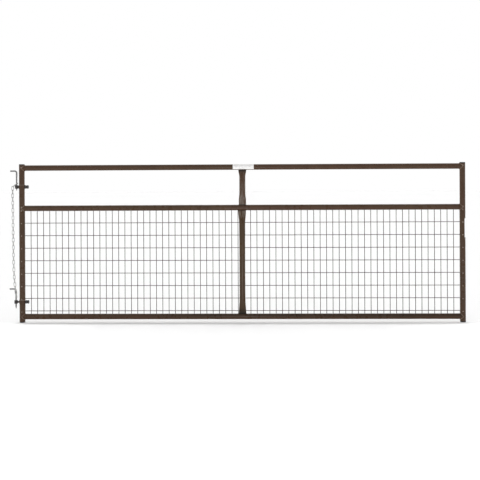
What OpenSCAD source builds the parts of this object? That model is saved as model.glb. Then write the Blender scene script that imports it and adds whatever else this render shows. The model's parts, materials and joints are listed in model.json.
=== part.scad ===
// Field gate of welded round tube with a wire mesh in its lower bay.
// It hangs on two hinge bolts, whose barrel eyes hold the screw hooks for the post.
// The latch chain hangs from the upper hook's shank down to the lower hook.
// Origin at the foot of the hinge upright, +X towards the latch end, front towards -Y, +Z up.

/* [Frame] */
// Distance between the axes of the two uprights
upright_span = 3535; // [2600:5:4800]
// Height of the gate over its end plugs
gate_h = 1275; // [1150:5:1600]
// Outside diameter of the uprights
upright_d = 44.5; // [44.5:0.1:48.5]
// Outside diameter of the rails and braces
rail_d = 44.5; // [34:0.1:44.5]
// Wall of every frame tube
tube_wall = 1.6; // [1:0.1:3]
// Height of the bottom rail's axis above the foot
bottom_rail_z = 46; // [40:1:80]
// Height of the middle rail's axis above the foot
middle_rail_z = 919; // [750:1:1000]
// Drop from the top of the gate to the top rail's axis
top_rail_drop = 31; // [29:1:60]

/* [Centre brace] */
// Offset of the upper brace from the middle of the gate
upper_brace_shift = 11.5; // [-100:0.5:100]
// Offset of the lower brace from the middle of the gate
lower_brace_shift = 9; // [-100:0.5:100]
// Thickness of the pinched ends of the braces
pinch_t = 10; // [6:0.5:16]
// Length of the taper at the upper end of each brace
upper_taper_l = 50; // [30:1:90]
// Length of the taper at the lower end of each brace
lower_taper_l = 90; // [40:1:120]

/* [Latch recess] */
// Height of the middle of the recess above the foot
recess_z = 751; // [600:1:880]
// Height of the recess
recess_h = 152; // [80:1:200]
// Depth of the recess
recess_depth = 11; // [3:0.1:14]

/* [Wire mesh] */
// Diameter of the mesh wire
wire_d = 4.9; // [2.5:0.1:5.5]
// Spacing of the vertical wires
wire_pitch_x = 50.8; // [45:0.1:110]
// Spacing of the horizontal wires
wire_pitch_z = 101.6; // [90:0.1:210]
// Height of the lowest horizontal wire above the bottom rail's axis
low_wire_rise = 41; // [30:1:80]
// Length of the vertical wires past the axes of the rails
wire_stub = 12; // [8:0.5:14]

/* [Hinges] */
// Height of the lower hinge bolt's axis above the foot
lower_hinge_z = 165; // [120:1:300]
// Drop from the top of the gate to the upper hinge bolt's axis
upper_hinge_drop = 183; // [150:1:240]
// Distance from the upright's axis to the axis of the upper barrel eye
upper_eye_offset = 42.5; // [42:0.5:60]
// Distance from the upright's axis to the axis of the lower barrel eye
lower_eye_offset = 51; // [42:0.5:60]
// Outside diameter of the barrel eye
barrel_d = 27; // [22:0.5:30]
// Height of the barrel eye
barrel_h = 27; // [20:0.5:32]
// Diameter of the hinge bolt
bolt_d = 15.9; // [12:0.1:18]
// Wall of the hinge collar
collar_wall = 2; // [1.5:0.1:4]
// Height of the hinge collar
collar_h = 34; // [28:1:45]
// Width of the hinge nuts across flats
nut_af = 23.8; // [21:0.1:27]
// Thickness of one hinge nut
nut_t = 13; // [8:0.1:16]

/* [Screw hooks] */
// Diameter of the hook's rod
hook_d = 12.7; // [10:0.1:16]
// Length of the hook's leg from the shank's axis
hook_leg_l = 51; // [40:1:70]
// Length of the hook's shank from the leg's axis
hook_shank_l = 159; // [145:1:180]
// Rise of the upper hook's leg above the upper hinge bolt
upper_hook_rise = 128; // [100:1:140]
// Rise of the lower hook's leg above the lower hinge bolt
lower_hook_rise = 104; // [90:1:125]

/* [Latch chain] */
// Diameter of the link wire
link_d = 4.8; // [3.5:0.1:5]
// Inside length of a link, which is the chain's pitch
link_in_l = 30; // [26:0.5:40]
// Inside width of a link
link_in_w = 11; // [10.5:0.1:13]
// Diameter of the end ring's wire
ring_wire_d = 6; // [5:0.1:7]
// Inside length of the oval end ring
ring_in_l = 46; // [42:0.5:60]
// Slope of the end ring where it hangs on the barrel
ring_tilt = 35; // [25:1:40]

/* [Label and plugs] */
// Length of the blank label
label_l = 168; // [80:1:260]
// Offset of the label from the middle of the gate
label_shift = 19.5; // [-100:0.5:100]
// Turn of the label upwards from the front of the top rail
label_turn = 10; // [-20:1:20]
// Thickness of the flange of an end plug
plug_flange_t = 8; // [4:0.5:8]
// Length of the plug inside the tube
plug_l = 18; // [10:1:20]

/* [Hidden] */
$fn = 48;

// Gap between pieces of one body that touch, filled by weld or paint
seat_gap = 0.2;
// Gap between pieces of different bodies that rest on each other
rest_gap = 0.3;
// Radial play of a hook in its barrel eye, and of a bolt in its nuts
turn_play = 0.08;
// Radial play of a hinge bolt in its drilled holes
drill_play = 0.4;
// Overrun of every cut
cut_over = 1;

frame_colour = "#52453a";
dark_colour = "#33322f";
zinc_colour = "#a6a8a8";
label_colour = "#f2f2ee";

// Frame
upright_r = upright_d / 2;
rail_r = rail_d / 2;
top_rail_z = gate_h - top_rail_drop;
gate_mid_x = upright_span / 2;
tube_bottom_z = plug_flange_t + seat_gap;
tube_top_z = gate_h - plug_flange_t - seat_gap;

// Brace ends keep the tube's girth when they are pinched
pinch_w = PI * (rail_d - pinch_t) / 2 + pinch_t;
loft_slice = 0.5;

// Mesh
wire_r = wire_d / 2;
low_wire_z = bottom_rail_z + low_wire_rise;
wire_rows = floor((middle_rail_z - low_wire_z) / wire_pitch_z) + 1;
vertical_wire_y = rail_r + seat_gap + wire_r;
horizontal_wire_y = vertical_wire_y + wire_d + seat_gap;
tack_r = 4;
tack_inset = 5;
spot_r = 4;
spot_top_r = 2.5;
spot_h = 1;

// Hinges
upper_hinge_x = -upper_eye_offset;
lower_hinge_x = -lower_eye_offset;
upper_hinge_z = gate_h - upper_hinge_drop;
barrel_r = barrel_d / 2;
barrel_chamfer = 1.5;
bolt_r = bolt_d / 2;
bolt_chamfer = 1.5;
collar_in_r = upright_r + seat_gap;
collar_r = collar_in_r + collar_wall;

// The last vertical wires pass behind the uprights, clear of the hinge collars
last_wire_x = sqrt(pow(collar_r + seat_gap + wire_r, 2) - pow(vertical_wire_y, 2));
wires_a_side = floor((gate_mid_x - last_wire_x) / wire_pitch_x + 1 / 2);

nut_x = collar_r + seat_gap;
nut_spacing = 3;
nut_corner_r = nut_af / sqrt(3);
nut_chamfer = 1.6;
bolt_stickout = 1.5;
bolt_end_x = nut_x + 2 * nut_t + nut_spacing + bolt_stickout;

// Screw hooks
hook_r = hook_d / 2;
hook_bend_r = 15;
hook_leg_chamfer = 1.5;
hook_point_l = 16;
hook_point_r = 1.5;
upper_leg_z = upper_hinge_z + upper_hook_rise;
lower_leg_z = lower_hinge_z + lower_hook_rise;

// End ring, on the upper shank with its low end outwards
ring_r = ring_wire_d / 2;
ring_side_gap = 1.6;
ring_in_w = hook_d + 2 * ring_side_gap;
ring_seat_y = ring_in_w / 2 + ring_r / 2;
ring_seat_x = sqrt(pow(barrel_r, 2) - pow(ring_seat_y, 2));
ring_rise = ring_seat_x * tan(ring_tilt) + (ring_r + rest_gap) / cos(ring_tilt);
ring_z = upper_hinge_z + barrel_h / 2 + ring_rise;
ring_high_u = (hook_r + rest_gap + ring_r) / cos(ring_tilt);
ring_mid_u = ring_high_u - (ring_in_l + ring_wire_d) / 2;
ring_low_u = ring_high_u - ring_in_l - ring_wire_d;

// Chain run, from the ring's low end to the front of the lower hook
link_r = link_d / 2;
link_out_w = link_in_w + 2 * link_d;
link_tip = link_in_l / 2 + link_r;
link_step = link_in_l - seat_gap;
chain_x = upper_hinge_x + ring_low_u * cos(ring_tilt);
chain_top_z = ring_z + ring_low_u * sin(ring_tilt) + ring_r + link_r + seat_gap;
chain_z = chain_top_z - link_tip;
tail_shift = 9;
tail_x = lower_hinge_x + tail_shift;
tail_clear = 15;
tail_z = lower_hinge_z + barrel_h / 2 + tail_clear;
link_count = floor((chain_top_z - tail_z) / link_step);
chain_drop = (link_count - 1) * link_step;
curl_share = 0.62;
curl_power = 8;
leg_share = (chain_z - lower_leg_z) / chain_drop;
chain_lean = (hook_r + link_out_w / 2 + rest_gap) / leg_share;
chain_parts = 4;
links_a_part = 2 * ceil(link_count / chain_parts / 2);

// Plugs and label
plug_play = 0.2;
plug_dome = 1.5;
label_t = 0.3;
label_angle = 60;

// Height of a row of the mesh
function row_z(row) = low_wire_z + row * wire_pitch_z;

// Place on the chain's run at a share of its drop
function chain_point(share) = [
  chain_x + (tail_x - chain_x) * ((1 - curl_share) * share + curl_share * pow(share, curl_power)),
  -chain_lean * share,
  chain_z - chain_drop * share];

// Change of place along the run for a full share
function chain_slope(share) = [
  (tail_x - chain_x) * (1 - curl_share + curl_share * curl_power * pow(share, curl_power - 1)),
  -chain_lean,
  -chain_drop];

// Share of the drop at which a link has its middle
function link_share(i) =
  i == 0 ? 0 : let (before = link_share(i - 1)) before + link_step / norm(chain_slope(before));

// Round tube along Z
module tube(r, wall, z0, z1) {
  difference() {
    translate([0, 0, z0]) cylinder(h = z1 - z0, r = r);
    translate([0, 0, z0 - cut_over]) cylinder(h = z1 - z0 + 2 * cut_over, r = r - wall);
  }
}

// Rod along X between two places
module rod_x(r, x0, x1) {
  translate([x0, 0, 0]) rotate([0, 90, 0]) cylinder(h = x1 - x0, r = r);
}

// Oval of round wire in the XZ plane, long along Z, with half rings at its ends
module oval_link(in_l, in_w, d) {
  bow_r = (in_w + d) / 2;
  half_bar = (in_l - in_w) / 2;
  for (side = [-1, 1]) {
    translate([side * bow_r, 0, -half_bar]) cylinder(h = 2 * half_bar, d = d);
  }
  for (turn = [0, 180]) {
    rotate([0, turn, 0]) translate([0, 0, half_bar]) rotate([90, 0, 0])
      rotate_extrude(angle = 180) translate([bow_r, 0]) circle(d = d);
  }
}

// Uprights
module hinge_upright() {
  color(frame_colour) difference() {
    tube(upright_r, tube_wall, tube_bottom_z, tube_top_z);
    for (z = [lower_hinge_z, upper_hinge_z]) {
      translate([0, 0, z]) rod_x(bolt_r + drill_play, -upright_d, upright_d);
    }
  }
}

// Solid core of the latch upright, flattened at the recess
module recessed_core(r, depth, h) {
  difference() {
    translate([0, 0, tube_bottom_z]) cylinder(h = tube_top_z - tube_bottom_z, r = r);
    translate([upright_r - depth, -upright_d, recess_z - h / 2]) cube([upright_d, 2 * upright_d, h]);
  }
}

module latch_upright() {
  color(frame_colour) translate([upright_span, 0, 0]) difference() {
    recessed_core(upright_r, recess_depth, recess_h);
    recessed_core(upright_r - tube_wall, recess_depth + tube_wall, recess_h + 2 * tube_wall);
  }
}

// Rails, with their ends coped to the uprights
module rail(z) {
  color(frame_colour) difference() {
    translate([0, 0, z]) rod_x(rail_r, 0, upright_span);
    translate([0, 0, z]) rod_x(rail_r - tube_wall, -cut_over, upright_span + cut_over);
    for (x = [0, upright_span]) {
      translate([x, 0, z - rail_d]) cylinder(h = 2 * rail_d, r = upright_r + seat_gap);
    }
  }
}

module top_rail() { rail(top_rail_z); }
module middle_rail() { rail(middle_rail_z); }
module bottom_rail() { rail(bottom_rail_z); }

// Loft from a round tube at Z zero to a flat end
module pinched_loft(l, r, w, t) {
  hull() {
    cylinder(h = loft_slice, r = r, $fn = 32);
    for (side = [-1, 1]) {
      translate([side * (w - t) / 2, 0, l - loft_slice]) cylinder(h = loft_slice, d = t, $fn = 32);
    }
  }
}

// Solid form of a brace, shrunk by a wall, with open ends where over is more than zero
module brace_form(z0, z1, shrink, over) {
  low_z = z0 + lower_taper_l;
  high_z = z1 - upper_taper_l;
  translate([0, 0, low_z]) cylinder(h = high_z - low_z, r = rail_r - shrink, $fn = 32);
  translate([0, 0, high_z])
    pinched_loft(upper_taper_l + over, rail_r - shrink, pinch_w - 2 * shrink, pinch_t - 2 * shrink);
  translate([0, 0, low_z]) mirror([0, 0, 1])
    pinched_loft(lower_taper_l + over, rail_r - shrink, pinch_w - 2 * shrink, pinch_t - 2 * shrink);
}

module brace(shift, z0, z1) {
  color(frame_colour) translate([gate_mid_x + shift, 0, 0]) difference() {
    brace_form(z0, z1, 0, 0);
    brace_form(z0, z1, tube_wall, cut_over);
  }
}

module upper_brace() {
  brace(upper_brace_shift, middle_rail_z + rail_r + seat_gap, top_rail_z - rail_r - seat_gap);
}

module lower_brace() {
  brace(lower_brace_shift, bottom_rail_z + rail_r + seat_gap, middle_rail_z - rail_r - seat_gap);
}

// Welded wire mesh on the backs of the tubes
module vertical_wires() {
  z0 = bottom_rail_z - wire_stub;
  z1 = middle_rail_z + wire_stub;
  color(frame_colour) for (i = [0 : wires_a_side - 1], side = [-1, 1]) {
    translate([gate_mid_x + side * (2 * i + 1) * wire_pitch_x / 2, vertical_wire_y, z0])
      cylinder(h = z1 - z0, r = wire_r);
  }
}

module horizontal_wires() {
  color(frame_colour) for (row = [0 : wire_rows - 1]) {
    translate([gate_mid_x, horizontal_wire_y, row_z(row)])
      rod_x(wire_r, -gate_mid_x, gate_mid_x);
  }
}

// Weld tacks between the ends of the horizontal wires and the uprights
module mesh_tacks() {
  y0 = upright_r + seat_gap;
  y1 = horizontal_wire_y - wire_r - seat_gap;
  color(frame_colour) for (row = [0 : wire_rows - 1], side = [-1, 1]) {
    translate([gate_mid_x + side * (gate_mid_x - tack_inset), y1, row_z(row)])
      rotate([90, 0, 0]) cylinder(h = y1 - y0, r = tack_r);
  }
}

// Low round spots of weld on the fronts of the uprights
module upright_weld_spots() {
  color(frame_colour) for (row = [0 : wire_rows - 1], x = [0, upright_span]) {
    translate([x, -upright_r - seat_gap, row_z(row)]) rotate([90, 0, 0])
      cylinder(h = spot_h, r1 = spot_r, r2 = spot_top_r);
  }
}

// Plug with a domed rim, its outer face at Z zero and its shank upwards
module end_plug() {
  shank_r = upright_r - tube_wall - plug_play;
  rotate_extrude() polygon([
    [0, 0],
    [upright_r - plug_dome, 0],
    [upright_r, plug_dome],
    [upright_r, plug_flange_t],
    [shank_r, plug_flange_t],
    [shank_r, plug_flange_t + plug_l],
    [0, plug_flange_t + plug_l]]);
}

module end_plugs() {
  color(dark_colour) for (x = [0, upright_span]) {
    translate([x, 0, 0]) end_plug();
    translate([x, 0, gate_h]) mirror([0, 0, 1]) end_plug();
  }
}

// Thin blank label bent round the front of the top rail
module blank_label() {
  in_r = rail_r + seat_gap;
  out_r = in_r + label_t;
  edge_y = in_r * cos(label_angle);
  color(label_colour) translate([gate_mid_x + label_shift - label_l / 2, 0, top_rail_z])
    rotate([-label_turn, 0, 0]) difference() {
      rod_x(out_r, 0, label_l);
      rod_x(in_r, -cut_over, label_l + cut_over);
      translate([-cut_over, -edge_y, -rail_d]) cube([label_l + 2 * cut_over, 2 * rail_d, 2 * rail_d]);
    }
}

// Hinges
module hinge_collar(z) {
  color(frame_colour) difference() {
    tube(collar_r, collar_wall, z - collar_h / 2, z + collar_h / 2);
    translate([0, 0, z]) rod_x(bolt_r + drill_play, -2 * collar_r, 2 * collar_r);
  }
}

module upper_hinge_collar() { hinge_collar(upper_hinge_z); }
module lower_hinge_collar() { hinge_collar(lower_hinge_z); }

// Barrel eye with bevelled rims
module barrel_eye() {
  half_h = barrel_h / 2;
  rotate_extrude() polygon([
    [0, -half_h],
    [barrel_r - barrel_chamfer, -half_h],
    [barrel_r, barrel_chamfer - half_h],
    [barrel_r, half_h - barrel_chamfer],
    [barrel_r - barrel_chamfer, half_h],
    [0, half_h]]);
}

module hinge_bolt(eye_x, z) {
  color(dark_colour) translate([0, 0, z]) difference() {
    union() {
      translate([eye_x, 0, 0]) barrel_eye();
      rod_x(bolt_r, eye_x, bolt_end_x - bolt_chamfer);
      translate([bolt_end_x - bolt_chamfer, 0, 0]) rotate([0, 90, 0])
        cylinder(h = bolt_chamfer, r1 = bolt_r, r2 = bolt_r - bolt_chamfer);
    }
    translate([eye_x, 0, -barrel_h]) cylinder(h = 2 * barrel_h, r = hook_r + turn_play);
  }
}

module upper_hinge_bolt() { hinge_bolt(upper_hinge_x, upper_hinge_z); }
module lower_hinge_bolt() { hinge_bolt(lower_hinge_x, lower_hinge_z); }

// Hexagon nut along Z with bevelled corners
module hex_nut() {
  difference() {
    intersection() {
      cylinder(h = nut_t, r = nut_corner_r, $fn = 6);
      rotate_extrude() polygon([
        [0, 0],
        [nut_corner_r - nut_chamfer, 0],
        [nut_corner_r, nut_chamfer],
        [nut_corner_r, nut_t - nut_chamfer],
        [nut_corner_r - nut_chamfer, nut_t],
        [0, nut_t]]);
    }
    translate([0, 0, -cut_over]) cylinder(h = nut_t + 2 * cut_over, r = bolt_r + turn_play);
  }
}

module hinge_nuts(z) {
  color(dark_colour) for (i = [0, 1]) {
    translate([nut_x + i * (nut_t + nut_spacing), 0, z]) rotate([0, 90, 0]) hex_nut();
  }
}

module upper_hinge_nuts() { hinge_nuts(upper_hinge_z); }
module lower_hinge_nuts() { hinge_nuts(lower_hinge_z); }

// Screw hook with its leg towards -X and its pointed shank downwards
module screw_hook(eye_x, leg_z) {
  point_z = hook_point_l - hook_shank_l;
  color(zinc_colour) translate([eye_x, 0, leg_z]) {
    rod_x(hook_r, hook_leg_chamfer - hook_leg_l, -hook_bend_r);
    translate([-hook_leg_l, 0, 0]) rotate([0, 90, 0])
      cylinder(h = hook_leg_chamfer, r1 = hook_r - hook_leg_chamfer, r2 = hook_r);
    translate([-hook_bend_r, 0, -hook_bend_r]) rotate([90, 0, 0])
      rotate_extrude(angle = 90) translate([hook_bend_r, 0]) circle(r = hook_r);
    translate([0, 0, point_z]) cylinder(h = -hook_bend_r - point_z, r = hook_r);
    translate([0, 0, -hook_shank_l]) cylinder(h = hook_point_l, r1 = hook_point_r, r2 = hook_r);
  }
}

module upper_screw_hook() { screw_hook(upper_hinge_x, upper_leg_z); }
module lower_screw_hook() { screw_hook(lower_hinge_x, lower_leg_z); }

// Oval end ring that slopes down from the upper shank over the barrel's rim
module chain_ring() {
  color(zinc_colour) translate([upper_hinge_x, 0, ring_z]) rotate([0, -ring_tilt, 0])
    translate([ring_mid_u, 0, 0]) rotate([90, 0, 90]) oval_link(ring_in_l, ring_in_w, ring_wire_d);
}

// Links from one number to another, each turned a quarter from the last
module chain_links(first, last) {
  color(zinc_colour) for (i = [first : last]) {
    share = link_share(i);
    up = -chain_slope(share) / norm(chain_slope(share));
    translate(chain_point(share)) rotate([-asin(up[1]), atan2(up[0], up[2]), 0])
      rotate([0, 0, 90 * (i % 2)]) oval_link(link_in_l, link_in_w, link_d);
  }
}

module chain_links_a() { chain_links(0, links_a_part - 1); }
module chain_links_b() { chain_links(links_a_part, 2 * links_a_part - 1); }
module chain_links_c() { chain_links(2 * links_a_part, 3 * links_a_part - 1); }
module chain_links_d() { chain_links(3 * links_a_part, link_count - 1); }

hinge_upright();
latch_upright();
top_rail();
middle_rail();
bottom_rail();
upper_brace();
lower_brace();
vertical_wires();
horizontal_wires();
mesh_tacks();
upright_weld_spots();
end_plugs();
blank_label();
upper_hinge_collar();
lower_hinge_collar();
upper_hinge_bolt();
lower_hinge_bolt();
upper_hinge_nuts();
lower_hinge_nuts();
upper_screw_hook();
lower_screw_hook();
chain_ring();
chain_links_a();
chain_links_b();
chain_links_c();
chain_links_d();
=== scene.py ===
import json
import math
import random

import bmesh
import bpy
import numpy as np
from mathutils import Matrix, Vector


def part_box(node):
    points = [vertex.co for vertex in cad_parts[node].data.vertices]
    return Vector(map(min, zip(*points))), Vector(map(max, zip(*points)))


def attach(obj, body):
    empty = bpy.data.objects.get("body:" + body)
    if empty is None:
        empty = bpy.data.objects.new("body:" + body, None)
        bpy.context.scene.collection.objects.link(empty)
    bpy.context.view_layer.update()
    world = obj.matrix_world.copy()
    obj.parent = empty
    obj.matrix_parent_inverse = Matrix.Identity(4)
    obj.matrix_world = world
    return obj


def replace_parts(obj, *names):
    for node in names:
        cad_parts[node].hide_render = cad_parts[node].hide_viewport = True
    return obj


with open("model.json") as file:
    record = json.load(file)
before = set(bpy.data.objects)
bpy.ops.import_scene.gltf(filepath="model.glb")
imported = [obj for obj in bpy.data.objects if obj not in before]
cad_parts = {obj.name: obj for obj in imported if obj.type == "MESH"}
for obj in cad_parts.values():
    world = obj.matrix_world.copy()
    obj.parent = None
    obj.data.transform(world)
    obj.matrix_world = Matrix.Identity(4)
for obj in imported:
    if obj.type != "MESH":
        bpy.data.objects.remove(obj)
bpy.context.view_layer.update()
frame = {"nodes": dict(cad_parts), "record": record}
NODES = frame["nodes"]
MM = 0.001
rng = random.Random(11)


def middle(node):
    """Middle of a node's box."""
    low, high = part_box(node)
    return (low + high) / 2


def half_depth(node):
    """Half of a node's size from front to back."""
    low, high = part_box(node)
    return (high.y - low.y) / 2


# Sizes and places of the solids, which the drawn pieces share
RAIL_R = half_depth("top_rail")
UPRIGHT_R = half_depth("hinge_upright")
WIRE_R = half_depth("horizontal_wires")
HINGE_X = middle("hinge_upright").x
LATCH_X = middle("latch_upright").x
RAIL_ZS = [middle(rail).z for rail in ("top_rail", "middle_rail", "bottom_rail")]
WIRE_PITCH_X = 50.8 * MM
WIRE_PITCH_Z = 101.6 * MM
SEAT_GAP = 0.2 * MM
HOOK_R = 6.35 * MM
HOOK_BEND_R = 15 * MM
EYE_BORE_R = 6.43 * MM
BOLT_R = 7.95 * MM
LINK_BAR_X = 7.9 * MM


# Mesh tools

BEAD_SIDES = 8
ROD_SIDES = 24
FLAT_POLE = 0.03  # share of the way between a blob's poles that is cut flat at each of them
COARSE, MEDIUM, FINE = (4, 6), (6, 12), (8, 16)  # rows and sides of a blob
THREAD_FLANK = 0.3  # share of a turn that each flank of a thread takes


def add(name, data):
    """New object of the scene."""
    obj = bpy.data.objects.new(name, data)
    bpy.context.scene.collection.objects.link(obj)
    return obj


class Shape:
    """Points and faces that become one piece."""

    def __init__(self):
        self.points = []
        self.faces = []

    def rings(self, rings, closed=False):
        """Skin over rings of points, capped at both ends unless the row of rings is closed."""
        start = len(self.points)
        sides = len(rings[0])
        for ring in rings:
            self.points.extend(tuple(p) for p in ring)
        last = len(rings) if closed else len(rings) - 1
        for row in range(last):
            a = start + row * sides
            b = start + (row + 1) % len(rings) * sides
            for k in range(sides):
                n = (k + 1) % sides
                self.faces.append((a + k, a + n, b + n, b + k))
        if not closed:
            self.faces.append(tuple(start + k for k in reversed(range(sides))))
            end = start + (len(rings) - 1) * sides
            self.faces.append(tuple(end + k for k in range(sides)))

    def sweep(self, path, radii):
        """Closed bead along a closed path."""
        count = len(path)
        centre = sum(path, Vector()) / count
        turns = [2 * math.pi * k / BEAD_SIDES for k in range(BEAD_SIDES)]
        rings = []
        for i, (point, radius) in enumerate(zip(path, radii)):
            tangent = (path[(i + 1) % count] - path[i - 1]).normalized()
            out = point - centre
            side = (out - tangent * out.dot(tangent)).normalized()
            other = tangent.cross(side)
            rings.append([point + radius * (math.cos(t) * side + math.sin(t) * other) for t in turns])
        self.rings(rings, closed=True)

    def blob(self, centre, radii, grid, turn=Matrix.Identity(3)):
        """Ellipsoid of rows and sides, with its own axes turned by a matrix."""
        rows, sides = grid
        rings = []
        for row in range(rows + 1):
            lat = math.pi * (FLAT_POLE + (1 - 2 * FLAT_POLE) * row / rows)
            ring = []
            for k in range(sides):
                lon = 2 * math.pi * k / sides
                local = (math.sin(lat) * math.cos(lon), math.sin(lat) * math.sin(lon), math.cos(lat))
                ring.append(Vector(centre) + turn @ Vector(a * r for a, r in zip(local, radii)))
            rings.append(ring)
        self.rings(rings[::-1])

    def piece(self, name, body, slot, finish=None):
        """Adds the shape to the scene as a smooth piece of a body, in a slot's finish or its own."""
        mesh = bpy.data.meshes.new(name)
        mesh.from_pydata(self.points, [], self.faces)
        work = bmesh.new()
        work.from_mesh(mesh)
        bmesh.ops.recalc_face_normals(work, faces=work.faces)
        work.to_mesh(mesh)
        work.free()
        mesh.polygons.foreach_set("use_smooth", [True] * len(mesh.polygons))
        mesh.materials.append(MATERIALS[finish or slot])
        obj = add(name, mesh)
        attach(obj, body)
        return obj


def uneven(width):
    """Random number within half a width of nothing."""
    return width * (rng.random() - 0.5)


def spread(first, last, step):
    """Numbers from first to last, at most a step apart."""
    count = max(1, math.ceil(abs(last - first) / step))
    return [first + (last - first) * i / count for i in range(count + 1)]


def thread_height(turns):
    """Share of the full thread at a number of turns along the screw."""
    return max(0.0, 1 - abs(turns % 1 - 0.5) / THREAD_FLANK)


def threaded(stations, across, axis, pitch, hand):
    """Rod through stations, each a point, a direction out, a radius and a depth of thread."""
    rings = []
    for point, out, radius, depth in stations:
        ring = []
        for k in range(ROD_SIDES):
            turn = 2 * math.pi * k / ROD_SIDES
            height = thread_height(point[axis] / pitch + hand * k / ROD_SIDES)
            size = radius - depth * (1 - height)
            ring.append(point + size * (math.cos(turn) * out + math.sin(turn) * across))
        rings.append(ring)
    shape = Shape()
    shape.rings(rings)
    return shape


# Material tools

NOISE_RANGE = (0.3, 0.7)  # where nearly all values of a noise lie
MIX_COLOURS, MIX_RESULT = (6, 7), 2  # sockets of the Mix node that carry colours
BLACK = (0, 0, 0)


def grey(value):
    """Colour of equal parts."""
    return (value, value, value)


def node_material(name):
    """New material, with its tree, its shader and the place on the object."""
    mat = bpy.data.materials.new(name)
    mat.use_nodes = True
    tree = mat.node_tree
    shader = tree.nodes["Principled BSDF"]
    place = tree.nodes.new("ShaderNodeTexCoord").outputs["Object"]
    return mat, tree, shader, place


def noise(tree, place, scale, detail, stretch=None):
    """Noise by place, of a scale and a detail, with its axes stretched if asked."""
    if stretch:
        mapping = tree.nodes.new("ShaderNodeMapping")
        mapping.inputs["Scale"].default_value = stretch
        tree.links.new(place, mapping.inputs["Vector"])
        place = mapping.outputs["Vector"]
    node = tree.nodes.new("ShaderNodeTexNoise")
    node.inputs["Scale"].default_value = scale
    node.inputs["Detail"].default_value = detail
    tree.links.new(place, node.inputs["Vector"])
    return node.outputs["Fac"]


def ramp(tree, value, first, last, limits=NOISE_RANGE):
    """Colour that goes from first to last while a value goes from one limit to the other."""
    node = tree.nodes.new("ShaderNodeValToRGB")
    for element, at, colour in zip(node.color_ramp.elements, limits, (first, last)):
        element.position = at
        element.color = (*colour, 1)
    tree.links.new(value, node.inputs["Fac"])
    return node.outputs["Color"]


def math_node(tree, operation, *values):
    """Result of an operation on numbers or sockets."""
    node = tree.nodes.new("ShaderNodeMath")
    node.operation = operation
    for value, socket in zip(values, node.inputs):
        if isinstance(value, (int, float)):
            socket.default_value = value
        else:
            tree.links.new(value, socket)
    return node.outputs[0]


def spread_value(tree, value, low, high, limits=NOISE_RANGE):
    """Number that goes from low to high while a value goes from one limit to the other."""
    node = tree.nodes.new("ShaderNodeMapRange")
    node.inputs["From Min"].default_value, node.inputs["From Max"].default_value = limits
    node.inputs["To Min"].default_value = low
    node.inputs["To Max"].default_value = high
    tree.links.new(value, node.inputs["Value"])
    return node.outputs["Result"]


def mix(tree, share, first, second):
    """Colour between two others, which are tuples or sockets."""
    node = tree.nodes.new("ShaderNodeMix")
    node.data_type = "RGBA"
    tree.links.new(share, node.inputs["Factor"])
    for value, socket in zip((first, second), MIX_COLOURS):
        if isinstance(value, tuple):
            node.inputs[socket].default_value = (*value, 1)
        else:
            tree.links.new(value, node.inputs[socket])
    return node.outputs[MIX_RESULT]


def bump(tree, shader, height, depth):
    """Relief of a depth on a shader, by a height from 0 to 1."""
    node = tree.nodes.new("ShaderNodeBump")
    node.inputs["Strength"].default_value = 1
    node.inputs["Distance"].default_value = depth
    tree.links.new(height, node.inputs["Height"])
    tree.links.new(node.outputs["Normal"], shader.inputs["Normal"])


def coordinate(tree, place, axis):
    """Place along one axis."""
    axes = tree.nodes.new("ShaderNodeSeparateXYZ")
    tree.links.new(place, axes.inputs[0])
    return axes.outputs[axis]


def grown(tree, place, first, last, axis="Z"):
    """Share that grows from nothing to one between two places along an axis."""
    return spread_value(tree, coordinate(tree, place, axis), 0, 1, (first, last))


# Painted highlights and painted shade on the paint. Each function returns one that lays its marks over a
# colour.

# Painted highlight: a light, patchy band just below the top rim of each hinge collar
RIM_HIGHLIGHT_COLOUR = (0.3, 0.26, 0.22)
RIM_HIGHLIGHT_REACH = 5 * MM
RIM_HIGHLIGHT_NOISE = (90, 3)  # scale and detail, as for all the noises
RIM_HIGHLIGHT_SHARES = (0.2, 1.0)

# Painted shade on the upper side of the bottom rail, patchy and darker towards the latch end
TOP_SHADE_COLOUR = (0.022, 0.008, 0.002)
TOP_SHADE_RISE = (-0.35, 0.35)  # from the rail's axis, in shares of its radius
TOP_SHADE_X = (0.4, 1.5)
TOP_SHADE_NOISE = (6, 4)
TOP_SHADE_SHARES = (0.5, 0.9)

# Painted highlights: pale streaks on the braces, most of them near the middle rail
BRACE_HIGHLIGHT = (0.15, 0.122, 0.1)
HIGHLIGHT_Z = (0.8, 0.88)
HIGHLIGHT_NOISE = (95, 4, (1, 1, 0.16))  # with its stretch
HIGHLIGHT_LIMITS = (0.48, 0.72)
HIGHLIGHT_SHARE = 0.9
HIGHLIGHT_CROWD = 0.13  # what is added to the noise of the painted highlights near the middle rail
HIGHLIGHT_CROWD_REACH = (110 * MM, 45 * MM)
# Painted shade at the ends of the braces, where they meet the rails
END_SHADE = (0.006, 0.0035, 0.0015)


def painted_rim_highlight(edge_z):
    """Painted highlight, light and patchy, only close below an edge."""

    def marks(tree, place, colour):
        near = grown(tree, place, edge_z - RIM_HIGHLIGHT_REACH, edge_z)
        patches = spread_value(tree, noise(tree, place, *RIM_HIGHLIGHT_NOISE), *RIM_HIGHLIGHT_SHARES)
        return mix(tree, math_node(tree, "MULTIPLY", near, patches), colour, RIM_HIGHLIGHT_COLOUR)

    return marks


def painted_top_shade(rail_z):
    """Painted shade, patchy, on the upper side of a rail and darker towards its latch end."""

    def marks(tree, place, colour):
        high = grown(tree, place, *(rail_z + share * RAIL_R for share in TOP_SHADE_RISE))
        patches = spread_value(tree, noise(tree, place, *TOP_SHADE_NOISE), *TOP_SHADE_SHARES)
        share = math_node(tree, "MULTIPLY", high, patches)
        share = math_node(tree, "MULTIPLY", share, grown(tree, place, *TOP_SHADE_X, axis="X"))
        return mix(tree, share, colour, TOP_SHADE_COLOUR)

    return marks


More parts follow.
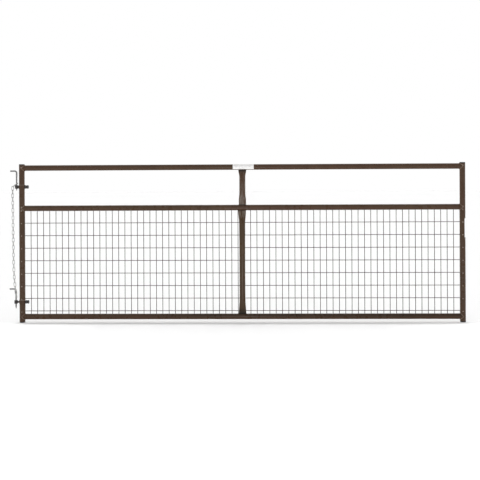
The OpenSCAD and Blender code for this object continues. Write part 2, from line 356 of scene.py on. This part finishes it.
def painted_brace_light(low_z, high_z, top_shade_l, foot_shade_l):
    """Painted highlights in pale streaks, most of them near the middle rail, and painted shade at both ends
    of a brace, where it meets the rails.
    """

    def marks(tree, place, colour):
        below, over = ([RAIL_ZS[1] + side * reach for reach in HIGHLIGHT_CROWD_REACH] for side in (-1, 1))
        crowd = math_node(tree, "MINIMUM", grown(tree, place, *below), grown(tree, place, *over))
        highlights = math_node(tree, "MULTIPLY_ADD", crowd, HIGHLIGHT_CROWD, noise(tree, place, *HIGHLIGHT_NOISE))
        highlights = spread_value(tree, highlights, 0, HIGHLIGHT_SHARE, HIGHLIGHT_LIMITS)
        colour = mix(tree, math_node(tree, "MULTIPLY", grown(tree, place, *HIGHLIGHT_Z), highlights), colour, BRACE_HIGHLIGHT)
        # Painted shade at both ends of the brace
        top_shade = grown(tree, place, high_z - top_shade_l, high_z)
        foot_shade = grown(tree, place, low_z + foot_shade_l, low_z)
        return mix(tree, math_node(tree, "MAXIMUM", top_shade, foot_shade), colour, END_SHADE)

    return marks


# Finishes

PAINT_GLOSS = 0.25
PAINT_CLOUDS = (9, 5)
PAINT_DRIFT = (1.7, 2)
DRIFT_SHARE = 0.35
RUST_SHARES = (1.05, 0.62, 0.72)  # what is left of red, green and blue where the paint drifts to rust
PAINT_DUST = (420, 2)
DUST_LIMITS = (0.62, 0.78)
DUST_SHARE = 0.35
PAINT_SHEEN = (30, 4)
PAINT_ROUGH = (-0.06, 0.08)  # least and most that the sheen adds to the roughness
PAINT_PEEL = (700, 2)
PEEL_DEPTH = 0.05 * MM

ZINC_CELLS = 260
ZINC_METAL = 0.75
ZINC_STAINS = (60, 4)
STAIN_LIMITS = (0.45, 0.75)
STAIN_SHARE = 0.5
STAIN_DARK = 0.7
ZINC_SHEEN = (150, 3)
ZINC_ROUGH = (-0.08, 0.1)
ZINC_GRAIN = (900, 2)
ZINC_DEPTH = 0.06 * MM

PLASTIC_CLOUDS = (70, 4)
PLASTIC_SHEEN = (200, 3)
PLASTIC_ROUGH = (-0.05, 0.06)
PLASTIC_GRAIN = (1600, 2)


def roughen(tree, shader, value, rough, changes):
    """Roughness that changes about a level with a value."""
    varied = spread_value(tree, value, *(rough + change for change in changes))
    tree.links.new(varied, shader.inputs["Roughness"])


def paint(name, dark, light, dust, rough, gloss=PAINT_GLOSS, marks=None):
    """Satin paint on steel: cloudy colour, faint dust, orange peel, and marks if they are given."""
    mat, tree, shader, place = node_material(name)
    colour = ramp(tree, noise(tree, place, *PAINT_CLOUDS), dark, light)
    drift = spread_value(tree, noise(tree, place, *PAINT_DRIFT), 0, DRIFT_SHARE)
    colour = mix(tree, drift, colour, tuple(c * share for c, share in zip(light, RUST_SHARES)))
    specks = ramp(tree, noise(tree, place, *PAINT_DUST), BLACK, grey(DUST_SHARE), DUST_LIMITS)
    colour = mix(tree, specks, colour, dust)
    if marks:
        colour = marks(tree, place, colour)
    tree.links.new(colour, shader.inputs["Base Color"])
    roughen(tree, shader, noise(tree, place, *PAINT_SHEEN), rough, PAINT_ROUGH)
    shader.inputs["Specular IOR Level"].default_value = gloss
    bump(tree, shader, noise(tree, place, *PAINT_PEEL), PEEL_DEPTH)
    return mat


def zinc(name, dark, light, rough):
    """Zinc plate with cells of slightly different brightness, and dull stains."""
    mat, tree, shader, place = node_material(name)
    cells = tree.nodes.new("ShaderNodeTexVoronoi")
    cells.inputs["Scale"].default_value = ZINC_CELLS
    tree.links.new(place, cells.inputs["Vector"])
    parts = tree.nodes.new("ShaderNodeSeparateColor")
    tree.links.new(cells.outputs["Color"], parts.inputs["Color"])
    spangle = ramp(tree, parts.outputs["Red"], dark, light, (0, 1))
    stains = ramp(tree, noise(tree, place, *ZINC_STAINS), BLACK, grey(STAIN_SHARE), STAIN_LIMITS)
    dull = tuple(STAIN_DARK * c for c in dark)
    tree.links.new(mix(tree, stains, spangle, dull), shader.inputs["Base Color"])
    shader.inputs["Metallic"].default_value = ZINC_METAL
    roughen(tree, shader, noise(tree, place, *ZINC_SHEEN), rough, ZINC_ROUGH)
    bump(tree, shader, noise(tree, place, *ZINC_GRAIN), ZINC_DEPTH)
    return mat


def plastic(name, dark, light, rough, depth):
    """Moulded plastic or film with a fine grain of a depth."""
    mat, tree, shader, place = node_material(name)
    colour = ramp(tree, noise(tree, place, *PLASTIC_CLOUDS), dark, light)
    tree.links.new(colour, shader.inputs["Base Color"])
    roughen(tree, shader, noise(tree, place, *PLASTIC_SHEEN), rough, PLASTIC_ROUGH)
    bump(tree, shader, noise(tree, place, *PLASTIC_GRAIN), depth)
    return mat


# Dark and light of the colour, dust where it is paint, roughness, and then gloss or depth of grain
BROWN = ((0.049, 0.0255, 0.0105), (0.067, 0.037, 0.0175), (0.15, 0.115, 0.085), 0.3)
OLIVE = ((0.041, 0.0225, 0.007), (0.057, 0.033, 0.0115), (0.13, 0.105, 0.07), 0.3)
# The welds and the weld spots are painted lighter than the frame: painted highlights
WELD_HIGHLIGHT = ((0.11, 0.08, 0.055), (0.2, 0.155, 0.115), (0.35, 0.31, 0.27), 0.32)
WELD_SPOT_HIGHLIGHT = ((0.22, 0.185, 0.15), (0.36, 0.315, 0.265), (0.5, 0.46, 0.41), 0.3)
MESH_PAINT = ((0.032, 0.02, 0.012), (0.045, 0.03, 0.019), (0.09, 0.075, 0.06), 0.55, 0.1)
DARK_STEEL = ((0.033, 0.033, 0.032), (0.057, 0.056, 0.054), (0.12, 0.115, 0.11), 0.45)
WORN_STEEL = ((0.11, 0.105, 0.1), (0.19, 0.185, 0.18), 0.45)
ZINC_HOOK = ((0.17, 0.17, 0.172), (0.29, 0.29, 0.29), 0.42)
ZINC_CHAIN = ((0.38, 0.38, 0.38), (0.57, 0.57, 0.56), 0.38)
PLUG_PLASTIC = ((0.014, 0.014, 0.014), (0.027, 0.026, 0.025), 0.55, 0.06 * MM)
LABEL_FILM = ((0.85, 0.84, 0.83), (0.9, 0.895, 0.89), 0.35, 0.02 * MM)

MATERIALS = {
    "frame_paint": paint("frame_paint", *BROWN),
    "weld": paint("weld", *WELD_HIGHLIGHT),
    "weld_spot": paint("weld_spot", *WELD_SPOT_HIGHLIGHT),
    "mesh_paint": paint("mesh_paint", *MESH_PAINT),
    "dark_steel": paint("dark_steel", *DARK_STEEL),
    "worn_steel": zinc("worn_steel", *WORN_STEEL),
    "zinc_hook": zinc("zinc_hook", *ZINC_HOOK),
    "zinc_chain": zinc("zinc_chain", *ZINC_CHAIN),
    "plug_plastic": plastic("plug_plastic", *PLUG_PLASTIC),
    "label_film": plastic("label_film", *LABEL_FILM),
}

# Paint of the braces, and how far the painted shade reaches from their upper and lower ends
BRACE_COATS = {
    "upper_brace": (BROWN, (24 * MM, 5 * MM)),
    "lower_brace": (OLIVE, (5 * MM, 48 * MM)),
}


def dress_nodes():
    """Gives every node the finish of its slot, and some nodes one with marks of their own."""
    for entry in frame["record"]["subparts"]:
        mesh = NODES[entry["node"]].data
        mesh.materials.clear()
        mesh.materials.append(MATERIALS[entry["material_slot"]])
    for node, (coat, shade_ls) in BRACE_COATS.items():
        ends = [corner.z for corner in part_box(node)]
        MATERIALS[node] = paint(node + "_paint", *coat, marks=painted_brace_light(*ends, *shade_ls))
    # Painted shade on the upper side of the bottom rail
    marks = {"bottom_rail": painted_top_shade(RAIL_ZS[2])}
    # Painted highlight on the top rim of each hinge collar
    for node in ("upper_hinge_collar", "lower_hinge_collar"):
        marks[node] = painted_rim_highlight(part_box(node)[1].z)
    for node, laid in marks.items():
        NODES[node].data.materials[0] = paint(node + "_paint", *BROWN, marks=laid)


dress_nodes()


# Welds of the frame

BEAD_R = 3 * MM
BEAD_RIPPLE = 3.6 * MM
BEAD_STEP = 0.28  # from point to point, in ripples
BEAD_WAVES = (0.84, 0.2, 0.06)  # shares of a bead's radius that are steady, rippled and random
BEAD_OUT = 0.35  # from the joint's line to the bead's middle, in shares of its radius
BEAD_LEAN = 0.5  # of the way out, towards the branch
APEX_X = 3 * MM  # nearest that a branch as wide as its post comes to the post's axis
STOP_SIZE = (5 * MM, 2.2 * MM, 5.5 * MM)
STOP_OUT = 1.4 * MM
STOP_RISE = 12 * MM
BLOB_CHANGE = 0.2


def ripple(path, size):
    """Radii along a bead, in scallops as the weld pool leaves them."""
    steady, rippled, wild = BEAD_WAVES
    radii = []
    way = 0.0
    for i, point in enumerate(path):
        way += (point - path[i - 1]).length if i else 0.0
        wave = abs(math.sin(math.pi * way / BEAD_RIPPLE))
        radii.append(size * (steady + rippled * wave + wild * rng.random()))
    return radii


def saddle(x0, z0, facing, post_r, branch_r, size):
    """Path of a bead where a branch along X meets an upright post."""
    path = []
    steps = round(2 * math.pi * branch_r / (BEAD_STEP * BEAD_RIPPLE))
    for i in range(steps):
        turn = 2 * math.pi * i / steps
        y, z = branch_r * math.cos(turn), branch_r * math.sin(turn)
        x = math.sqrt(max(post_r**2 - y**2, APEX_X**2))
        out = Vector((facing * BEAD_LEAN, math.cos(turn), math.sin(turn))) * BEAD_OUT * size
        path.append(Vector((x0 + facing * x, y, z0 + z)) + out)
    return path


def scaled(radii, size):
    """Radii of a blob that is larger or smaller in the plane of the gate, and as thick."""
    return (radii[0] * size, radii[1], radii[2] * size)


def weld_frame():
    """Beads where the rails meet the uprights, and the ends of the upper four at the front, all painted
    lighter than the frame as painted highlights.
    """
    corners = [(x, facing, z) for z in RAIL_ZS for x, facing in ((HINGE_X, 1), (LATCH_X, -1))]
    welds = Shape()
    for x, facing, z in corners:
        path = saddle(x, z, facing, UPRIGHT_R, RAIL_R, BEAD_R)
        welds.sweep(path, ripple(path, BEAD_R))
    welds.piece("frame_welds", "gate", "frame_paint", "weld")
    stops = Shape()
    for x, facing, z in corners[:4]:  # of the top and the middle rail
        radii = scaled(STOP_SIZE, 1 + uneven(BLOB_CHANGE))
        stops.blob((x + facing * APEX_X, -RAIL_R - STOP_OUT, z + STOP_RISE * rng.random()), radii, FINE)
    stops.piece("weld_stops", "gate", "frame_paint", "weld_spot")


weld_frame()


# Braces with their pinched ends, and the beads round them

BRACE_BEAD_R = 2.4 * MM
BRACE_STEP = 3 * MM
BRACE_BLUR = 5  # steps over which the widths are averaged
PINCH_RUNS = 44  # points along each flat side of an outline
PINCH_TURNS = 18  # points round each of its ends

# Distances from the upper end and from the lower end of a brace with the widths there, in millimetres
UPPER_WIDTHS = (
    ((0, 64), (21, 60), (37, 52), (54, 48.5)),
    ((0, 59.5), (34, 59), (50, 57), (66, 53), (84, 49)),
)
LOWER_WIDTHS = (
    ((0, 63.5), (25, 61), (50, 56.5), (75, 51), (100, 48.5), (190, 48), (240, 46.5)),
    ((0, 61), (14, 59.5), (62, 53), (90, 49), (120, 47.5), (160, 46.5)),
)


def pinched(width):
    """Outline of a rail tube that is pinched to a width and keeps its girth, anticlockwise from +X and +Y."""
    end_r = (math.pi * RAIL_R - width) / (math.pi - 2)
    run = width / 2 - end_r
    outline = []
    for side in (1, -1):
        outline += [(side * run * (1 - 2 * i / PINCH_RUNS), side * end_r) for i in range(PINCH_RUNS + 1)]
        for i in range(1, PINCH_TURNS):
            turn = math.pi / 2 + math.pi * i / PINCH_TURNS
            outline.append((side * (end_r * math.cos(turn) - run), side * end_r * math.sin(turn)))
    return outline


def on_rail(x0, rail_z, facing, outline, gap=0.0):
    """Outline of a brace's end, laid on the upper or lower side of a rail."""
    reach = RAIL_R + gap
    return [Vector((x0 + x, y, rail_z + facing * math.sqrt(reach**2 - y**2))) for x, y in outline]


def brace(node, widths, high_rail_z, low_rail_z):
    """Pinched tube between two rails, in place of a node, and the beads at its ends."""
    low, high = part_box(node)
    x0 = middle(node).x
    known = [(low.z + d * MM, w * MM) for d, w in widths[1]]
    known += [(high.z - d * MM, w * MM) for d, w in widths[0][::-1]]
    zs = spread(low.z, high.z, BRACE_STEP)
    sizes = np.interp(zs, *zip(*known))
    edge = BRACE_BLUR // 2
    sizes[edge:-edge] = np.convolve(sizes, np.full(BRACE_BLUR, 1 / BRACE_BLUR), "valid")
    rings = [on_rail(x0, low_rail_z, 1, pinched(sizes[0]), SEAT_GAP)]
    for z, size in zip(zs[1:-1], sizes[1:-1]):
        rings.append([(x0 + x, y, z) for x, y in pinched(size)])
    rings.append(on_rail(x0, high_rail_z, -1, pinched(sizes[-1]), SEAT_GAP))
    shape = Shape()
    shape.rings(rings)
    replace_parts(shape.piece(node + "_pinched", "gate", "frame_paint", node), node)
    welds = Shape()
    for rail_z, facing, size in ((high_rail_z, -1, sizes[-1]), (low_rail_z, 1, sizes[0])):
        path = on_rail(x0, rail_z, facing, pinched(size))
        welds.sweep(path, ripple(path, BRACE_BEAD_R))
    welds.piece(node + "_welds", "gate", "frame_paint", node)


brace("upper_brace", UPPER_WIDTHS, *RAIL_ZS[:2])
brace("lower_brace", LOWER_WIDTHS, *RAIL_ZS[1:])


# Welds of the mesh

NUGGET_SHARES = (1.1, 0.7, 1.1)  # of the wire's radius
TACK_SIZE = (4 * MM, 1.6 * MM, 3.8 * MM)
TACK_IN = 4 * MM  # from the outer sides of the solid tacks to the middles of the blobs
SPOT_SIZE = (4.2 * MM, 1.2 * MM, 3.8 * MM)
SPOT_SINK = 0.2 * MM
SPOT_ASIDE = (2.5 * MM, -4 * MM)  # from the axes of the hinge and the latch upright
SPOT_DRIFT = (3 * MM, 2 * MM)  # widths in which the spots stray sideways and in height


def weld_mesh():
    """Nuggets where the wires cross, tacks that hold the mesh, and spots on the fronts of the uprights, the
    tacks and spots painted lighter than the frame as painted highlights.
    """
    column_low, column_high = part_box("vertical_wires")
    level_low, level_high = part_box("horizontal_wires")
    columns = round((column_high.x - column_low.x - 2 * WIRE_R) / WIRE_PITCH_X) + 1
    rows = round((level_high.z - level_low.z - 2 * WIRE_R) / WIRE_PITCH_Z) + 1
    xs = [column_low.x + WIRE_R + i * WIRE_PITCH_X for i in range(columns)]
    zs = [level_low.z + WIRE_R + i * WIRE_PITCH_Z for i in range(rows)]
    meeting_y = (column_high.y + level_low.y) / 2
    nuggets = Shape()
    for z in zs:
        for x in xs:
            nuggets.blob((x, meeting_y, z), [share * WIRE_R for share in NUGGET_SHARES], COARSE)
    nuggets.piece("mesh_nuggets", "gate", "mesh_paint")

    tack_low, tack_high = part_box("mesh_tacks")
    tack_y = (tack_low.y + tack_high.y) / 2
    spot_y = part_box("upright_weld_spots")[1].y + SPOT_SINK
    tack_xs = (tack_low.x + TACK_IN, tack_high.x - TACK_IN)
    tacks, spots = Shape(), Shape()
    for z in zs:
        for post_x, tack_x, aside in zip((HINGE_X, LATCH_X), tack_xs, SPOT_ASIDE):
            size = 1 + uneven(BLOB_CHANGE)
            tacks.blob((tack_x, tack_y, z), scaled(TACK_SIZE, size), MEDIUM)
            turn = Matrix.Rotation(math.asin((aside + uneven(SPOT_DRIFT[0])) / UPRIGHT_R), 3, "Z")
            centre = Vector((post_x, 0, z + uneven(SPOT_DRIFT[1]))) + turn @ Vector((0, spot_y, 0))
            spots.blob(centre, scaled(SPOT_SIZE, size), FINE, turn)
    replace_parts(tacks.piece("tack_blobs", "gate", "frame_paint", "weld"), "mesh_tacks")
    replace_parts(spots.piece("spot_domes", "gate", "frame_paint", "weld_spot"), "upright_weld_spots")


weld_mesh()


# Screw hooks with a lag thread

HOOK_CHAMFER = 1.5 * MM
HOOK_PLAIN_L = 42 * MM
HOOK_POINT_L = 16 * MM
HOOK_TIP = 0.2  # share of the radius at the tip
BEND_STEPS = 12
LAG_PITCH = 4.2 * MM
LAG_DEPTH = 1.3 * MM
LAG_STEPS = 10  # in a turn


def hook(node, body):
    """Bent hook with a lag thread and a point, in place of a node."""
    low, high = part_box(node)
    axis_x, leg_z = high.x - HOOK_R, high.z - HOOK_R
    bend_x, bend_z = axis_x - HOOK_BEND_R, leg_z - HOOK_BEND_R
    stations = []
    for x, r in ((low.x, HOOK_R - HOOK_CHAMFER), (low.x + HOOK_CHAMFER, HOOK_R), (bend_x, HOOK_R)):
        stations.append((Vector((x, 0, leg_z)), Vector((0, 0, 1)), r, 0.0))
    for i in range(1, BEND_STEPS + 1):
        turn = math.pi / 2 * (1 - i / BEND_STEPS)
        out = Vector((math.cos(turn), 0, math.sin(turn)))
        stations.append((Vector((bend_x, 0, bend_z)) + HOOK_BEND_R * out, out, HOOK_R, 0.0))
    out = Vector((1, 0, 0))
    thread_z = leg_z - HOOK_PLAIN_L
    stations.append((Vector((axis_x, 0, thread_z)), out, HOOK_R, 0.0))
    for z in spread(thread_z, low.z, LAG_PITCH / LAG_STEPS)[1:]:
        full = min(1.0, (thread_z - z) / LAG_PITCH)
        taper = min(1.0, HOOK_TIP + (1 - HOOK_TIP) * (z - low.z) / HOOK_POINT_L)
        stations.append((Vector((axis_x, 0, z)), out, HOOK_R * taper, LAG_DEPTH * full * taper))
    shape = threaded(stations, Vector((0, 1, 0)), 2, LAG_PITCH, -1)
    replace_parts(shape.piece(node + "_threaded", body, "zinc_hook"), node)


hook("upper_screw_hook", "upper_hook")
hook("lower_screw_hook", "lower_hook")


# Hinge bolts with a barrel eye and a threaded end

EYE_SIDES = 48
EYE_CHAMFER = 0.8 * MM
EYE_BEVEL = 1.5 * MM
BEVEL_STEPS = 4
EYE_BEAD_R = 1.6 * MM
ROD_START = 1.6 * MM  # from the bore to the rod's end in the eye's wall
BOLT_CHAMFER = 1.5 * MM
BOLT_THREAD_X = 10 * MM
BOLT_PITCH = 2.3 * MM
BOLT_DEPTH = 0.9 * MM
BOLT_STEPS = 8  # in a turn


def eye_bolt(node):
    """Barrel eye and the threaded rod welded to it, in place of a node."""
    low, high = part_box(node)
    z0 = (low.z + high.z) / 2
    half_h = (high.z - low.z) / 2
    eye_r = half_depth(node)
    eye_x = low.x + eye_r
    corner = [(EYE_BORE_R, half_h - EYE_CHAMFER), (EYE_BORE_R + EYE_CHAMFER, half_h)]
    for i in range(BEVEL_STEPS + 1):
        turn = math.pi / 2 * (1 - i / BEVEL_STEPS)
        corner.append((eye_r - EYE_BEVEL * (1 - math.cos(turn)), half_h - EYE_BEVEL * (1 - math.sin(turn))))
    profile = [(r, -h) for r, h in corner] + corner[::-1]
    rings = []
    for k in range(EYE_SIDES):
        turn = 2 * math.pi * k / EYE_SIDES
        rings.append([(eye_x + r * math.cos(turn), r * math.sin(turn), z0 + h) for r, h in profile])
    eye = Shape()
    eye.rings(rings, closed=True)
    path = saddle(eye_x, z0, 1, eye_r, BOLT_R, EYE_BEAD_R)
    eye.sweep(path, ripple(path, EYE_BEAD_R))
    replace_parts(eye.piece(node + "_eye", "gate", "dark_steel"), node)

    sections = [(eye_x + EYE_BORE_R + ROD_START, BOLT_R, 0.0), (BOLT_THREAD_X, BOLT_R, 0.0)]
    for x in spread(BOLT_THREAD_X, high.x, BOLT_PITCH / BOLT_STEPS)[1:]:
        full = min(1.0, (x - BOLT_THREAD_X) / BOLT_PITCH)
        sections.append((x, min(BOLT_R, BOLT_R - BOLT_CHAMFER + high.x - x), BOLT_DEPTH * full))
    stations = [(Vector((x, 0, z0)), Vector((0, 1, 0)), r, depth) for x, r, depth in sections]
    rod = threaded(stations, Vector((0, 0, 1)), 0, BOLT_PITCH, 1)
    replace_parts(rod.piece(node + "_rod", "gate", "dark_steel", "worn_steel"), node)


eye_bolt("upper_hinge_bolt")
eye_bolt("lower_hinge_bolt")


# Weld of every chain link, on one of its bars

SAME_POINT = 0.01 * MM
LINK_WELD = (2.75 * MM, 2.75 * MM, 3.6 * MM)


def islands(mesh):
    """Points of each solid in a mesh, whose faces have vertices of their own along shared edges."""
    work = bmesh.new()
    work.from_mesh(mesh)
    bmesh.ops.remove_doubles(work, verts=work.verts, dist=SAME_POINT)
    groups = []
    left = set(work.verts)
    for vert in work.verts:
        if vert not in left:
            continue
        left.discard(vert)
        group = [vert]
        for member in group:
            near = [edge.other_vert(member) for edge in member.link_edges]
            fresh = [other for other in dict.fromkeys(near) if other in left]
            left.difference_update(fresh)
            group += fresh
        groups.append([tuple(member.co) for member in group])
    work.free()
    return groups


def link_welds(node, body):
    """Weld on one bar of every link in a node."""
    shape = Shape()
    for points in islands(NODES[node].data):
        cloud = np.array(points)
        centre = cloud.mean(0)
        axes = np.linalg.svd(cloud - centre, full_matrices=False)[2]
        along, across = Vector(axes[0]), Vector(axes[1])
        across = -across if across.y < -abs(across.x) else across
        turn = Matrix((across, along.cross(across), along)).transposed()
        shape.blob(Vector(centre) + across * LINK_BAR_X, LINK_WELD, MEDIUM, turn)
    shape.piece(node + "_welds", body, "zinc_chain")


for part in "abcd":
    link_welds("chain_links_" + part, "chain_" + part)


# Light of the room and floor

ROOM_LIGHT = 0.65
WHITE = (1, 1, 1, 1)
FLOOR_CORNERS = [(-60, -60, 0), (60, -60, 0), (60, 120, 0), (-60, 120, 0)]
FLOOR_WHITE = 0.75
FLOOR_ROUGH = 0.9
FLOOR_GLOW = 0.25  # light that the floor gives to the object
FLOOR_LIFT = 0.018  # light that is added for the camera, and more of it in front of the gate and at its ends
FRONT_LIFT = 0.15
FRONT_Y = -120 * MM
END_LIFT = 0.2
END_REACH = (1.1, 1.8)  # from the middle of the gate


def background_share(tree):
    """One for rays that look at the background, straight or by a mirror or glass."""
    path = tree.nodes.new("ShaderNodeLightPath")
    share = path.outputs["Is Camera Ray"]
    for name in ("Is Glossy Ray", "Is Transmission Ray"):
        share = math_node(tree, "MAXIMUM", share, path.outputs[name])
    return share


def light_room():
    """Even light on the object, and white for what looks at the background."""
    world = bpy.data.worlds.new("studio")
    bpy.context.scene.world = world
    world.use_nodes = True
    tree = world.node_tree
    room = tree.nodes["Background"]
    white = tree.nodes.new("ShaderNodeBackground")
    for background, strength in ((room, ROOM_LIGHT), (white, 1)):
        background.inputs["Color"].default_value = WHITE
        background.inputs["Strength"].default_value = strength
    choice = tree.nodes.new("ShaderNodeMixShader")
    tree.links.new(background_share(tree), choice.inputs["Fac"])
    tree.links.new(room.outputs[0], choice.inputs[1])
    tree.links.new(white.outputs[0], choice.inputs[2])
    tree.links.new(choice.outputs[0], tree.nodes["World Output"].inputs["Surface"])


def lay_floor():
    """White floor that keeps the shadow."""
    mat, tree, shader, place = node_material("floor_white")
    shader.inputs["Base Color"].default_value = (*grey(FLOOR_WHITE), 1)
    shader.inputs["Roughness"].default_value = FLOOR_ROUGH
    shader.inputs["Specular IOR Level"].default_value = 0
    shader.inputs["Emission Color"].default_value = WHITE
    aside = math_node(tree, "SUBTRACT", coordinate(tree, place, "X"), (HINGE_X + LATCH_X) / 2)
    aside = math_node(tree, "ABSOLUTE", aside)
    ends = spread_value(tree, aside, FRONT_LIFT, FRONT_LIFT + END_LIFT, END_REACH)
    front = spread_value(tree, coordinate(tree, place, "Y"), 1, 0, (FRONT_Y, 0))
    added = math_node(tree, "MULTIPLY_ADD", front, ends, FLOOR_LIFT - FLOOR_GLOW)
    lift = math_node(tree, "MULTIPLY_ADD", background_share(tree), added, FLOOR_GLOW)
    tree.links.new(lift, shader.inputs["Emission Strength"])
    mesh = bpy.data.meshes.new("floor")
    mesh.from_pydata(FLOOR_CORNERS, [], [(0, 1, 2, 3)])
    mesh.materials.append(mat)
    add("floor", mesh)


light_room()
lay_floor()


# Lamps: a fan of soft ones from behind, which draws the shadow in front, and a low one in front

LAMP_LIGHT = 0.66  # on the floor, from the whole fan
LAMP_RISE = math.radians(34)
LAMP_TURNS = [math.radians(turn) for turn in (-60, -30, 0, 30, 60)]
LAMP_SOFT = math.radians(38)
LOW_PLACE = Vector((1.75, -2.2, 0.04))
LOW_AIM = Vector((1.78, 0, 0.97))
LOW_SIZE = (0.35, 0.25)
LOW_POWER = 7.0


def point_lamp(lamp, aim):
    """Turns a lamp so that it shines along a direction."""
    lamp.rotation_euler = aim.to_track_quat("-Z", "Y").to_euler()


def hang_lamps():
    """Fan of suns from behind, and the low lamp."""
    for turn in LAMP_TURNS:
        aim = Vector((math.sin(turn), -math.cos(turn), -math.tan(LAMP_RISE) * math.cos(turn))).normalized()
        data = bpy.data.lights.new("back_light", "SUN")
        data.energy = math.pi * LAMP_LIGHT / len(LAMP_TURNS) / -aim.z
        data.angle = LAMP_SOFT
        lamp = add("back_light", data)
        point_lamp(lamp, aim)
        lamp.visible_glossy = False
    data = bpy.data.lights.new("low_light", "AREA")
    data.shape = "RECTANGLE"
    data.size, data.size_y = LOW_SIZE
    data.energy = LOW_POWER
    lamp = add("low_light", data)
    lamp.location = LOW_PLACE
    point_lamp(lamp, LOW_AIM - LOW_PLACE)
    lamp.visible_camera = False


hang_lamps()


# Camera, worked out from the photograph: its size, focal length and shift in pixels, its turns and its place

PICTURE_PX = 480
FOCAL_PX = 747.9
SHIFT_PX = -55
SENSOR_W = 36  # in millimetres
CAMERA_TURN = math.radians(1.098)
CAMERA_ROLL = math.radians(0.257)
CAMERA_PLACE = (1.8753, -6, 1.1)


def set_camera():
    """Camera that sees the gate as the photograph does."""
    data = bpy.data.cameras.new("camera")
    data.sensor_width = SENSOR_W
    data.lens = SENSOR_W * FOCAL_PX / PICTURE_PX
    data.shift_y = SHIFT_PX / PICTURE_PX
    camera = add("camera", data)
    turn = Matrix.Rotation(CAMERA_TURN, 4, "Z") @ Matrix.Rotation(CAMERA_ROLL, 4, "Y")
    level = Matrix.Rotation(math.pi / 2, 4, "X")
    camera.matrix_world = Matrix.Translation(CAMERA_PLACE) @ turn @ level
    bpy.context.scene.camera = camera


set_camera()
bpy.context.scene.view_settings.view_transform = "Standard"
